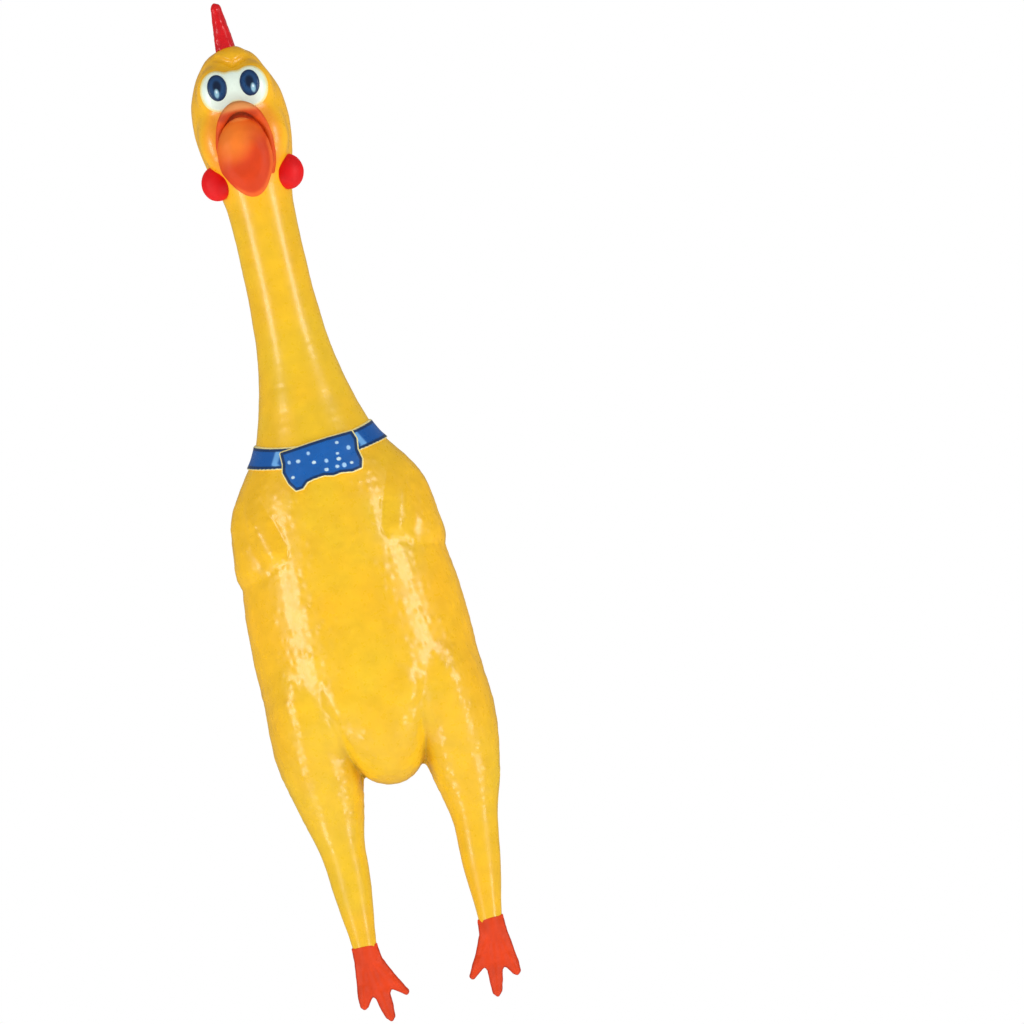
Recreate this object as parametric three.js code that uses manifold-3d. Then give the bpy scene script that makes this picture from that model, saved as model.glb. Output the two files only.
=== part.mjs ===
// A squeaking rubber chicken, hung by its neck. Millimetres, +Z up, face towards -Y.
// The origin is the middle of the neck, where a hand holds it, and heights are measured from there.
// Left and right are the chicken's own: its left side is +X.
import * as THREE from "three";
import { mergeVertices } from "three/addons/utils/BufferGeometryUtils.js";
import Module from "manifold-3d";

const wasm = await Module();
wasm.setup();

// ---- Driving dimensions ----
const WALL = 2; // thickness of the moulded skin
const GAP = 0.3; // clearance between neighbouring pieces
const SIDES = 24; // facets round the trunk
const LEG_SIDES = 16; // facets round each leg
const FAR = 200; // reach of a cutting tool, past every piece

// Heights of the places where the soft skin bends. Each one is a ball in a socket.
const NOD = { z: 45, r: 17.7, bend: 35 }; // head on the neck
const BEND = { z: 23, r: 17.1, bend: 35 }; // neck above the hand
const SWING = { z: -24, r: 18.6, bend: 40 }; // neck below the hand
const SWAY = { z: -50, r: 23, bend: 30 }; // neck on the trunk
const HIP = { x: 36.4, z: -281, r: 14.6, bend: 50 };
const KNEE = { x: 34.6, z: -316, r: 10.2, bend: 26 };
const ANKLE = { x: 33.7, z: -345 };
const LEG_Y = -2; // the legs hang a little in front of the neck's axis

const COLLAR_Z = -84; // middle of the painted neckband
const EYE = { x: 9, z: 109.5 }; // middle of each eye
const MOUTH_Z = 94; // middle of the air hole at the back of the mouth

// Sections of the trunk from the crown down: [height, half width, front, back].
const TRUNK = [
  [128.5, 0, 0, 0],
  [126.5, 9.5, 9, 11],
  [121, 16.7, 16, 18.5],
  [113, 20.6, 21.5, 24],
  [105, 23.6, 25, 27],
  [97, 24.9, 26.5, 28],
  [89, 25.4, 27, 28],
  [79, 24.3, 26, 26.5],
  [68, 22.2, 23.5, 23.5],
  [58, 19.9, 20, 20.5],
  [45, 17.7, 17.7, 17.7],
  [23, 17.1, 17.1, 17.1],
  [0, 17.2, 17.2, 17.2],
  [-24, 18.6, 18.6, 18.6],
  [-38, 20.6, 20.4, 20.4],
  [-50, 23, 22.6, 22.6],
  [-64, 26.4, 24.6, 24],
  [-76, 30.2, 26.6, 25.4],
  [-84, 34.4, 28.6, 27],
  [-94, 42, 31.6, 29],
  [-106, 47.6, 34.8, 31],
  [-122, 51, 37.8, 33],
  [-142, 53.6, 40.2, 35],
  [-164, 56, 42.2, 36.5],
  [-190, 57.6, 43.5, 37],
  [-212, 58, 43.6, 36.5],
  [-230, 56.6, 42, 35],
  [-245, 50, 38, 33],
  [-256, 37, 31, 28],
  [-262, 22, 20, 19],
  [-265, 0, 0, 0],
];

// Sections of the left leg from the flank down to the ankle, with the middle's x and y last.
const LEG = [
  [-200, 0, 0, 0, 33, LEG_Y],
  [-208, 14, 16, 14, 33, LEG_Y],
  [-222, 23.2, 23, 21, 34.2, LEG_Y],
  [-236, 24, 24, 22, 35.3, LEG_Y],
  [-250, 22.8, 22.6, 21, 35.9, LEG_Y],
  [-262, 19.9, 19.6, 19, 36.2, LEG_Y],
  [-272, 17.1, 17, 16.6, 36.4, LEG_Y],
  [HIP.z, HIP.r, HIP.r, HIP.r, HIP.x, LEG_Y],
  [-291, 12, 12, 12, 35.8, LEG_Y],
  [-303, 11, 11, 11, 35.1, LEG_Y],
  [KNEE.z, KNEE.r, KNEE.r, KNEE.r, KNEE.x, LEG_Y],
  [-328, 8.5, 8.5, 8.5, 34.2, LEG_Y],
  [-338, 7, 7, 7, 33.9, LEG_Y],
  [ANKLE.z, 6.6, 6.4, 6.4, ANKLE.x, LEG_Y],
];

// ---- Solids ----
// A closed three.js geometry as a solid that can be joined and cut.
function solid(geometry) {
  const plain = geometry.clone();
  plain.deleteAttribute("normal");
  plain.deleteAttribute("uv");
  const merged = mergeVertices(plain, 1e-3);
  const made = new wasm.Manifold(
    new wasm.Mesh({
      numProp: 3,
      vertProperties: merged.attributes.position.array,
      triVerts: new Uint32Array(merged.index.array),
    }),
  );
  if (made.volume() <= 0) throw new Error("a tool or piece is inside out");
  return made;
}

function geometryOf(manifold) {
  const mesh = manifold.getMesh();
  const geometry = new THREE.BufferGeometry();
  geometry.setAttribute("position", new THREE.BufferAttribute(mesh.vertProperties, 3));
  geometry.setIndex(new THREE.BufferAttribute(mesh.triVerts, 1));
  return geometry;
}

// A turned solid standing on +Z. The profile is [radius, height] pairs from the bottom to the top.
function turned(profile, sides = SIDES) {
  const points = profile.map(([radius, height]) => new THREE.Vector2(radius, height));
  return new THREE.LatheGeometry(points, sides).rotateX(Math.PI / 2);
}

const rod = (radius, low, high, sides = SIDES) =>
  turned([[0, low], [radius, low], [radius, high], [0, high]], sides);

const ball = (radius, x, y, z, sides = 20) =>
  solid(new THREE.SphereGeometry(radius, sides, sides / 2).translate(x, y, z));

const ellipsoid = (radii, at, sides = 24) =>
  new THREE.SphereGeometry(1, sides, sides / 2).scale(...radii).translate(...at);

// Everything above (or below) a height, between a cone and its far end.
// The cone opens the groove that a bend needs.
function beyond({ x = 0, z, bend }, up) {
  const rise = Math.tan(THREE.MathUtils.degToRad(bend / 2 + 1)) * FAR;
  const far = rise + 3 * FAR;
  const profile = up ? [[0, z], [FAR, z + rise], [FAR, z + far], [0, z + far]]
    : [[0, z - far], [FAR, z - far], [FAR, z - rise], [0, z]];
  return solid(turned(profile).translate(x, 0, 0));
}

// A closed body of oval sections, smooth between the stations and grown by a distance all round.
function loft(stations, grow = 0, sides = SIDES, steps = 1) {
  const along = (first, second, third) =>
    new THREE.CatmullRomCurve3(
      stations.map((s) => new THREE.Vector3(s[first], s[second], s[third] ?? 0)),
      false,
      "catmullrom",
      0.5,
    );
  const [shape, middle] = [along(0, 1, 2), along(3, 4, 5)];
  const rings = (stations.length - 1) * steps;
  const sections = Array.from({ length: rings + 1 }, (_, i) => {
    const { x: height, y: width, z: front } = shape.getPoint(i / rings);
    const { x: back, y: x, z: y } = middle.getPoint(i / rings);
    return { height, width, front, back, x: x || 0, y: y || 0 };
  });
  const tip = (s, way) => (s.width < 0.01 ? way * grow : 0);
  const closed = [sections[0], ...sections, sections.at(-1)].reverse();
  const tube = turned(closed.map((_, i) => [i === 0 || i === closed.length - 1 ? 0 : 1, i]), sides);
  const place = tube.attributes.position;
  for (let i = 0; i < place.count; i++) {
    const ring = Math.round(place.getZ(i));
    const s = closed[ring];
    const pole = ring === 0 || ring === closed.length - 1 || s.width < 0.01;
    const size = pole ? 0 : 1;
    const depth = place.getY(i) < 0 ? s.front : s.back;
    const way = ring > closed.length / 2 ? 1 : -1;
    place.setXYZ(
      i,
      s.x + place.getX(i) * (s.width + grow) * size,
      s.y + place.getY(i) * (depth + grow) * size,
      s.height + tip(s, way),
    );
  }
  return solid(tube);
}

// A flat outline, given as [x, z] points or a THREE.Shape, pushed through from y = near back to y = far.
function pushed(outline, near, far, curves = 6) {
  const drawn = outline instanceof THREE.Shape;
  const shape = drawn ? outline : new THREE.Shape(outline.map(([x, z]) => new THREE.Vector2(x, z)));
  const depth = far - near;
  return new THREE.ExtrudeGeometry(shape, { depth, bevelEnabled: false, curveSegments: curves })
    .rotateX(Math.PI / 2)
    .translate(0, far, 0);
}

function ovalShape(x, z, halfWidth, halfHeight) {
  const shape = new THREE.Shape();
  shape.absellipse(x, z, halfWidth, halfHeight, 0, 2 * Math.PI);
  return shape;
}

const mirrored = (stations) => stations.map(([h, w, f, b, x, y]) => [h, w, f, b, -x, y]);

// ---- The chicken ----
const chicken = new THREE.Group();

function material(color, roughness = 0.45) {
  return new THREE.MeshStandardMaterial({ color, roughness, metalness: 0 });
}
const YELLOW = material("#f4c42f", 0.4);
const RED = material("#e22a2c", 0.4);
const ORANGE = material("#ec641f", 0.4);
const FOOT_RED = material("#e9502b", 0.4);
const WHITE = material("#e8f3e6", 0.35);
const NAVY = material("#1c3f66", 0.3);
const BLUE = material("#2463b0", 0.4);
const PLASTIC = material("#e9e6da", 0.5);
const REED = material("#c9d4d8", 0.3);

function add(name, shape, look, parent = chicken) {
  const mesh = new THREE.Mesh(shape.isBufferGeometry ? shape : geometryOf(shape), look);
  mesh.name = name;
  parent.add(mesh);
  return mesh;
}

const trunk = loft(TRUNK);
const trunkHollow = loft(TRUNK, -WALL);
const trunkPlus = (distance) => loft(TRUNK, distance);

// The biggest body of a cut shape, without the slivers the cut leaves.
const main = (shape) => shape.decompose().sort((a, b) => b.volume() - a.volume())[0];

// The ball end of a hollow piece, with an air way through it. It points up or down, as `way` says (1 or -1).
const CAP = 0.5; // how far the dome reaches past the middle, as a share of its radius
const INSET = 0.5; // how far the ball sits inside the skin's face
const ballSides = ({ x = 0 }) => (x ? LEG_SIDES : 20);
const ballAt = (joint, radius) =>
  ball(radius, joint.x ?? 0, joint.x ? LEG_Y : 0, joint.z, ballSides(joint));
// A seat's flat facets have to clear the corners of the ball that turns in it.
const seatRadius = (joint) => (joint.r - INSET + GAP) / Math.cos(Math.PI / ballSides(joint)) ** 2;
function knob(joint, way) {
  const { x = 0, z, r, bend } = joint;
  const root = r * Math.tan(THREE.MathUtils.degToRad(bend / 2 + 6));
  const slab = (radius, from, to) => {
    const [low, high] = [z + way * from, z + way * to].sort((a, b) => a - b);
    return solid(rod(radius, low, high, ballSides(joint)).translate(x, x ? LEG_Y : 0, 0));
  };
  const inside = r - INSET - WALL;
  return {
    outer: ballAt(joint, r - INSET).intersect(slab(2 * r, -root, CAP * r)),
    room: slab(FAR, -root - WALL, -FAR),
    bore: ballAt(joint, inside).add(slab(Math.sqrt(inside ** 2 - root ** 2), -root - WALL - 1, 0)),
  };
}

// A hollow length of skin between two bends. Each end is a ball or a seat for the neighbour's ball.
function length({ full, hollow, upper, lower, balls = [], seats = [] }) {
  let outer = full;
  let inner = hollow;
  if (upper) outer = outer.intersect(beyond(upper, false));
  if (lower) outer = outer.intersect(beyond(lower, true));
  for (const [joint, way] of balls) {
    const end = knob(joint, way);
    outer = outer.add(end.outer);
    inner = inner.intersect(end.room).add(end.bore);
  }
  for (const joint of seats) inner = inner.add(ballAt(joint, seatRadius(joint)));
  return outer.subtract(inner);
}

// Head: the skin above the nod, with a sleeve inside that holds the whistle.
const WHISTLE = { radius: 6, length: 26, flange: 7.2, y: -25, tilt: -12 };
const sleeveAxis = (geometry) =>
  geometry
    .rotateX(Math.PI / 2)
    .rotateX(THREE.MathUtils.degToRad(WHISTLE.tilt))
    .translate(0, WHISTLE.y, MOUTH_Z);
const sleeve = solid(sleeveAxis(rod(WHISTLE.flange + GAP + WALL, -20, 6)));
const throatBore = [
  [0, -30],
  [WHISTLE.radius + GAP, -30],
  [WHISTLE.radius + GAP, 0.6 - GAP],
  [WHISTLE.flange + GAP, 0.6 - GAP],
  [WHISTLE.flange + GAP, 8],
  [0, 8],
];
const throat = solid(sleeveAxis(turned(throatBore)));
const sleeved = { full: trunk, hollow: trunkHollow.subtract(sleeve), lower: NOD, seats: [NOD] };
add("head_skin", length(sleeved).subtract(throat), YELLOW);

// Neck above the hand, the grip itself, and the neck below the hand.
const neck = { full: trunk, hollow: trunkHollow };
add("neck_upper", length({ ...neck, upper: NOD, lower: BEND, balls: [[NOD, 1]], seats: [BEND] }), YELLOW);
add("neck_grip", length({ ...neck, upper: BEND, lower: SWING, balls: [[BEND, 1]], seats: [SWING] }), YELLOW);
const doubleEnded = [[SWING, 1], [SWAY, -1]];
add("neck_lower", length({ ...neck, upper: SWING, lower: SWAY, balls: doubleEnded }), YELLOW);

// Trunk: the skin below the neck with both thighs joined in, open at the neck and the hips.
const legs = [LEG, mirrored(LEG)].map((stations) => ({
  full: loft(stations, 0, LEG_SIDES),
  hollow: loft(stations, -WALL, LEG_SIDES),
  x: Math.sign(stations[0][4]),
}));
const hipOf = (leg) => ({ ...HIP, x: leg.x * HIP.x });
const kneeOf = (leg) => ({ ...KNEE, x: leg.x * KNEE.x });
const withThighs = legs.reduce((sum, leg) => sum.add(leg.full.intersect(beyond(hipOf(leg), true))), trunk);
const withLegRoom = legs.reduce((sum, leg) => sum.add(leg.hollow), trunkHollow);
const trunkSeats = [SWAY, ...legs.map(hipOf)];
const body = length({ full: withThighs, hollow: withLegRoom, upper: SWAY, seats: trunkSeats });

// Belly: the oval of skin that a hand squeezes in. It travels straight back inside the trunk.
const BELLY = { z: -182, halfWidth: 34, halfHeight: 50 };
const squeezed = (grow) =>
  solid(pushed(ovalShape(0, BELLY.z, BELLY.halfWidth + grow, BELLY.halfHeight + grow), -80, 0, 20));
add("torso_skin", body.subtract(squeezed(GAP)), YELLOW);
add("belly_panel", body.intersect(squeezed(-GAP)), YELLOW);

// Wings: short, folded and moulded against the flanks.
const wingLump = (side) =>
  solid(ellipsoid([11, 21, 24], [0, 0, 0]).rotateX(0.25).rotateY(-0.2 * side).translate(side * 45, -6, -121))
    .add(solid(ellipsoid([9, 13, 16], [0, 0, 0]).rotateX(-0.4).translate(side * 49, -9, -127)));
for (const [name, side] of [["left_wing", 1], ["right_wing", -1]]) {
  add(name, wingLump(side).subtract(trunkPlus(GAP)), YELLOW);
}

// Neckband and bow, moulded in relief.
const BAND = { half: 4.9, dip: 6.5, reach: 36 };
const bandEdge = (x, way) => COLLAR_Z - 1.65 + way * BAND.half + BAND.dip * (x / BAND.reach) ** 2;
const bandPoints = (way) =>
  Array.from({ length: 13 }, (_, i) => {
    const x = (i / 6 - 1) * BAND.reach * 1.3;
    return [x, bandEdge(Math.max(-BAND.reach, Math.min(BAND.reach, x)), way)];
  });
const bandOutline = [...bandPoints(-1), ...bandPoints(1).reverse()];
const bowShape = new THREE.Shape();
bowShape.moveTo(-18, COLLAR_Z + 0.5);
bowShape.quadraticCurveTo(0, COLLAR_Z + 3.5, 20, COLLAR_Z + 2.5);
bowShape.quadraticCurveTo(23.5, COLLAR_Z - 8, 21.5, COLLAR_Z - 15.5);
bowShape.quadraticCurveTo(8, COLLAR_Z - 17.5, -4, COLLAR_Z - 15.5);
bowShape.quadraticCurveTo(-12, COLLAR_Z - 20.5, -15.5, COLLAR_Z - 18.5);
bowShape.quadraticCurveTo(-20, COLLAR_Z - 9, -18, COLLAR_Z + 0.5);
const bowCut = solid(pushed(bowShape, -80, 0, 8));
const belowJoint = beyond({ ...SWAY, z: SWAY.z - 1 }, false);
const band = solid(pushed(bandOutline, -60, 60))
  .intersect(trunkPlus(1.4))
  .intersect(belowJoint)
  .subtract(trunkPlus(GAP));
const bowPiece = bowCut.intersect(trunkPlus(2.6)).subtract(trunkPlus(1.4 + GAP));
add("collar_band", band, BLUE);
add("bow_tie", bowPiece, BLUE);

// Comb: an upright blade with four points, thicker at its root.
const COMB = { low: 122, high: 154, root: 5.7, tip: 2.4 };
const combShape = new THREE.Shape();
combShape.moveTo(-15, COMB.low - 6);
combShape.quadraticCurveTo(-17, COMB.high - 10, -10, COMB.high);
combShape.quadraticCurveTo(-5, COMB.high - 2, -4, COMB.high - 9);
combShape.quadraticCurveTo(1, COMB.high + 1, 5, COMB.high - 3);
combShape.quadraticCurveTo(8, COMB.high - 7, 7.5, COMB.high - 14);
combShape.quadraticCurveTo(14, COMB.high - 4, 17, COMB.high - 10);
combShape.quadraticCurveTo(18, COMB.high - 15, 15.5, COMB.high - 21);
combShape.quadraticCurveTo(22, COMB.high - 14, 24, COMB.high - 20);
combShape.quadraticCurveTo(25, COMB.high - 34, 19, COMB.low - 14);
const combBlade = new THREE.ExtrudeGeometry(combShape, { depth: 2, bevelEnabled: false, curveSegments: 5 })
  .translate(0, 0, -1)
  .rotateX(Math.PI / 2)
  .rotateZ(Math.PI / 2);
const combPlace = combBlade.attributes.position;
for (let i = 0; i < combPlace.count; i++) {
  const share = THREE.MathUtils.clamp((combPlace.getZ(i) - COMB.low) / (COMB.high - COMB.low), 0, 1);
  combPlace.setX(i, combPlace.getX(i) * THREE.MathUtils.lerp(COMB.root, COMB.tip, share));
}
add("comb", solid(combBlade).subtract(trunkPlus(GAP)), RED);

// Beak: a visor over the mouth and a spoon that hangs open below it.
const VISOR = { radii: [15.2, 19, 17.5], at: [0, -22.5, 85] };
const outerVisor = solid(ellipsoid(VISOR.radii, VISOR.at, 28));
const innerVisor = solid(ellipsoid(VISOR.radii.map((r) => r - 3.4), VISOR.at, 28));
const beakRoom = solid(ellipsoid(VISOR.radii.map((r) => r + GAP), VISOR.at, 28));
const JAW = { y: -24, z: 88, slope: 0.4 }; // the corner of the mouth, and how steeply the lip rises
const overLip = (drop) =>
  solid(new THREE.BoxGeometry(FAR, FAR, FAR).translate(0, 0, FAR / 2).rotateX(-JAW.slope))
    .translate([0, JAW.y, JAW.z - drop]);
const upperBeak = outerVisor.subtract(innerVisor).intersect(overLip(0));
const mouthWay = solid(sleeveAxis(rod(WHISTLE.flange + GAP, -4, 4)));
const CLOSING = [5, 10, 15, 20, 25.5]; // degrees: the lower beak leaves room for the whistle as it closes
const closingWay = CLOSING.reduce(
  (way, angle) =>
    way.add(
      mouthWay
        .translate([0, -JAW.y, -JAW.z])
        .rotate([angle, 0, 0])
        .translate([0, JAW.y, JAW.z]),
    ),
  mouthWay,
);
const SPOON = { radii: [14.5, 8, 18.5], tilt: 0.3, at: [0, -25.5, 70.5], wall: 3 };
const spoonOf = (less, shift) =>
  solid(
    ellipsoid(SPOON.radii.map((r) => r - less), [0, shift, 0], 28)
      .rotateX(SPOON.tilt)
      .translate(...SPOON.at),
  );
const spoonFront = solid(
  new THREE.BoxGeometry(60, 40, 80).translate(0, -20 - 1.5, 0).rotateX(SPOON.tilt).translate(...SPOON.at),
);
const lowerBeak = spoonOf(0, 0)
  .subtract(spoonOf(SPOON.wall, -SPOON.wall))
  .subtract(spoonFront)
  .subtract(overLip(1))
  .subtract(trunkPlus(GAP))
  .subtract(closingWay);
add("upper_beak", main(upperBeak.subtract(trunkPlus(GAP)).subtract(mouthWay)), ORANGE);
add("lower_beak", main(lowerBeak), ORANGE);

// Wattles: a red ball at each corner of the jaw.
const WATTLE = { radius: 7.1, x: 20.4, y: -9, z: 61.5 };
for (const [name, side] of [["left_wattle", 1], ["right_wattle", -1]]) {
  const round = ball(WATTLE.radius, side * WATTLE.x, WATTLE.y, WATTLE.z, 20);
  add(name, main(round.subtract(trunkPlus(GAP)).subtract(spoonOf(-GAP, 0)).subtract(beakRoom)), RED);
}

// Eyes: one white patch with two domed irises on it.
const patch = [-1, 1]
  .map((side) => solid(pushed(ovalShape(side * EYE.x, EYE.z, 9.4, 11), -60, 0, 12)))
  .reduce((a, b) => a.add(b));
add("eye_patch", patch.intersect(trunkPlus(1.2)).subtract(trunkPlus(GAP)).subtract(beakRoom), WHITE);
for (const [name, side] of [["left_iris", 1], ["right_iris", -1]]) {
  const disc = solid(pushed(ovalShape(side * (EYE.x - 0.4), EYE.z + 1.3, 5.1, 7), -60, 0, 10));
  add(name, disc.intersect(trunkPlus(2.2)).subtract(trunkPlus(1.2 + GAP)), NAVY);
}

// Legs below the hip, each a drumstick end and a shank, then a flat webbed foot on an ankle bend.
const footOutline = new THREE.Shape();
footOutline.moveTo(-5.8, 0);
footOutline.lineTo(5.8, 0);
footOutline.quadraticCurveTo(7.5, -14, 10.3, -31);
footOutline.quadraticCurveTo(10.2, -36, 6.3, -34.5);
footOutline.quadraticCurveTo(3.6, -29, 2.5, -26.2);
footOutline.quadraticCurveTo(0.9, -35, 0.6, -40.5);
footOutline.quadraticCurveTo(-2.3, -45.5, -5.4, -41);
footOutline.quadraticCurveTo(-7, -33, -7.6, -25.6);
footOutline.quadraticCurveTo(-11, -28.5, -14.2, -32.4);
footOutline.quadraticCurveTo(-18.6, -33.5, -18, -29.5);
footOutline.quadraticCurveTo(-12, -14, -5.8, 0);
const FOOT = { thick: 5.6 };
const mirrorX = (outline) => outline.map((p) => [-p.x, p.y]).reverse();
for (const leg of legs) {
  const side = leg.x > 0 ? "left" : "right";
  const [hip, knee] = [hipOf(leg), kneeOf(leg)];
  const { full, hollow } = leg;
  const drumstick = length({ full, hollow, upper: hip, lower: knee, balls: [[hip, 1]], seats: [knee] });
  add(`${side}_drumstick`, drumstick, YELLOW);
  const aboveHeel = solid(rod(FAR, ANKLE.z + FOOT.thick / 2 + GAP, 0));
  const shankRoom = hollow.intersect(solid(rod(FAR, ANKLE.z + 8, 0)));
  const shank = length({ full, hollow: shankRoom, upper: knee, balls: [[knee, 1]] });
  add(`${side}_shank`, shank.intersect(aboveHeel), YELLOW);
  const points = footOutline.getPoints(5).map((p) => new THREE.Vector2(p.x, p.y));
  const outline = leg.x > 0 ? points.map((p) => [p.x, p.y]) : mirrorX(points);
  const sole = solid(pushed(outline, -FOOT.thick / 2, FOOT.thick / 2));
  const roll = new THREE.CylinderGeometry(FOOT.thick / 2, FOOT.thick / 2, 11.6, 20).rotateZ(Math.PI / 2);
  const foot = sole.add(solid(roll));
  add(`${side}_foot`, foot.translate([leg.x * ANKLE.x, LEG_Y, ANKLE.z]), FOOT_RED);
}

// Whistle: a barrel in the throat, a grille, and a reed clamped on a slotted block.
// Its own axis is +Z, pointing out of the mouth, and the group lays it in the throat.
const whistle = new THREE.Group();
whistle.position.set(0, WHISTLE.y, MOUTH_Z);
whistle.rotation.x = Math.PI / 2 + THREE.MathUtils.degToRad(WHISTLE.tilt);
chicken.add(whistle);
const BORE = 4.8; // inside radius of the barrel
const BACK = 2 - WHISTLE.length;
const barrelWall = [
  [BORE, BACK + 1.5],
  [BORE - 1, BACK + 1.5],
  [BORE - 1, BACK],
  [WHISTLE.radius, BACK],
  [WHISTLE.radius, 0.6],
  [WHISTLE.flange, 0.6],
  [WHISTLE.flange, 2],
  [BORE, 2],
  [BORE, BACK + 1.5],
];
add("whistle_barrel", solid(turned(barrelWall, 28)), PLASTIC, whistle);

const slot = (x) => solid(new THREE.BoxGeometry(1.3, 6, 4).translate(x, 0, 1));
const grille = [-2.4, 0, 2.4].reduce(
  (plate, x) => plate.subtract(slot(x)),
  solid(rod(BORE - GAP, 0.4, 1.8, 28)),
);
add("whistle_grille", grille, PLASTIC, whistle);

const BLOCK = { low: BACK + 1.8, plug: 5, length: 18, channel: 1.6, flat: 0.2 };
const blockRound = solid(rod(BORE - GAP, BLOCK.low, BLOCK.low + BLOCK.length, 28));
const blockMiddle = BLOCK.low + BLOCK.length / 2;
const overFlat = solid(
  new THREE.BoxGeometry(12, 12, BLOCK.length).translate(0, 6 + BLOCK.flat, blockMiddle + 1.6),
);
const channel = solid(
  new THREE.BoxGeometry(2 * BLOCK.channel, 3, BLOCK.length - 2)
    .translate(0, BLOCK.flat - 1.4, blockMiddle - 1.2),
);
add("reed_block", blockRound.subtract(overFlat).subtract(channel), PLASTIC, whistle);

const TONGUE = { half: 2.4, thick: 0.4, low: BLOCK.low + 2.2, length: 15.4 };
const tongue = new THREE.BoxGeometry(2 * TONGUE.half, TONGUE.thick, TONGUE.length).translate(
  0,
  BLOCK.flat + GAP + 0.1 + TONGUE.thick / 2,
  TONGUE.low + TONGUE.length / 2,
);
add("reed_tongue", tongue, REED, whistle);

const WEDGE = { low: TONGUE.low + 0.2, length: 4.4 };
const overReed = BLOCK.flat + 2 * GAP + 0.2 + TONGUE.thick;
const wedgeHalf = solid(
  new THREE.BoxGeometry(12, 12, 12).translate(0, 6 + overReed, WEDGE.low + WEDGE.length / 2),
);
const wedge = solid(rod(BORE - GAP, WEDGE.low, WEDGE.low + WEDGE.length, 28)).intersect(wedgeHalf);
add("reed_wedge", wedge, PLASTIC, whistle);

export default chicken;
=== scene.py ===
"""A squeaking rubber chicken, hung by its neck: one soft moulding with painted relief.
Shapes are distance fields in millimetres, meshed here; Blender gets them in metres."""
import math

import bpy
import numpy as np
from mathutils import Matrix, Vector


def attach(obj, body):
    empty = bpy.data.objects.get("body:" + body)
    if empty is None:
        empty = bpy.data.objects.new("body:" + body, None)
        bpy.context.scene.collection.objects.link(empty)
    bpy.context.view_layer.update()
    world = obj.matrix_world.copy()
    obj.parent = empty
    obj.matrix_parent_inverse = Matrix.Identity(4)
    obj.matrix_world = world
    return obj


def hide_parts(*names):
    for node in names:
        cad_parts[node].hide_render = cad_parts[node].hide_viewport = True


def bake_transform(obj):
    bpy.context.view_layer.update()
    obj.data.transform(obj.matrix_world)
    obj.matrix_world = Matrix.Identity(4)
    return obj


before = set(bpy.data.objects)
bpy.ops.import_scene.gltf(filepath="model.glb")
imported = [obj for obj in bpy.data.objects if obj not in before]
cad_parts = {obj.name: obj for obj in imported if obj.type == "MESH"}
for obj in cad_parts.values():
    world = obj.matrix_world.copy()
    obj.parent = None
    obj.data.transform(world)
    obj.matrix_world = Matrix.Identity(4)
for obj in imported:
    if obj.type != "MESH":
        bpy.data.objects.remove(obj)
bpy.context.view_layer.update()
MM = 0.001
COARSE = 1.0

# ---- Camera: level, in front of the face, rolled as the toy is held ----
ROLL = math.radians(13.0)
AIM = Vector((0.0928, 0.0, -0.1395))
VIEW_WIDTH = 0.5376
LENS = 200.0
SENSOR = 36.0
camera = bpy.data.objects.new("camera", bpy.data.cameras.new("camera"))
bpy.context.scene.collection.objects.link(camera)
camera.data.lens = LENS
camera.data.sensor_width = SENSOR
camera.data.clip_end = 50.0
right = Vector((math.cos(ROLL), 0.0, -math.sin(ROLL)))
up = Vector((math.sin(ROLL), 0.0, math.cos(ROLL)))
back = right.cross(up)
place = Matrix((right, up, back)).transposed().to_4x4()
place.translation = AIM + back * (VIEW_WIDTH * LENS / SENSOR)
camera.matrix_world = place
bpy.context.scene.camera = camera


# ---- Numbers and noise ----
def smin(a, b, k):
    """The lesser of two fields, rounded where they meet."""
    h = np.clip(0.5 + 0.5 * (b - a) / k, 0, 1)
    return b + (a - b) * h - k * h * (1 - h)


def smax(a, b, k):
    """The greater of two fields, rounded where they meet."""
    return -smin(-a, -b, k)


def step(low, high, v):
    """0 at low, 1 at high, smooth between them."""
    t = np.clip((v - low) / (high - low), 0, 1)
    return t * t * (3 - 2 * t)


def hashed(i, seed):
    """Three numbers from 0 to 1 for each whole-number cell."""
    h = (i[:, 0] * 73856093) ^ (i[:, 1] * 19349663) ^ (i[:, 2] * 83492791) ^ (seed * 2654435761)
    out = []
    for _ in range(3):
        h = (h * 1664525 + 1013904223) & 0xFFFFFFFF
        h = h ^ (h >> 15)
        out.append((h & 0xFFFFFF) / float(0x1000000))
    return np.stack(out, 1)


def noise(p, size, seed=1):
    """Smooth noise from -1 to 1, with features about that size."""
    q = p / size
    base = np.floor(q).astype(np.int64)
    f = q - base
    f = f * f * (3 - 2 * f)
    total = np.zeros(len(p))
    for corner in range(8):
        o = np.array([corner & 1, (corner >> 1) & 1, corner >> 2])
        w = np.prod(np.where(o, f, 1 - f), 1)
        total += w * hashed(base + o, seed)[:, 0]
    return total * 2 - 1


def nearest(p, size, seed=3):
    """Distance to the nearest of points scattered one to a cell of that size."""
    q = p / size
    base = np.floor(q).astype(np.int64)
    best = np.full(len(p), 9.0)
    for dx in (-1, 0, 1):
        for dy in (-1, 0, 1):
            for dz in (-1, 0, 1):
                cell = base + np.array([dx, dy, dz])
                best = np.minimum(best, np.sum((cell + 0.15 + 0.7 * hashed(cell, seed) - q) ** 2, 1))
    return np.sqrt(best) * size


# ---- Fields: negative inside ----
def turn(x=0.0, y=0.0, z=0.0):
    """Rotation matrix, in degrees, about X, then Y, then Z."""
    rx, ry, rz = (Matrix.Rotation(math.radians(a), 3, n) for a, n in ((x, "X"), (y, "Y"), (z, "Z")))
    return np.array(rz @ ry @ rx)


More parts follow.
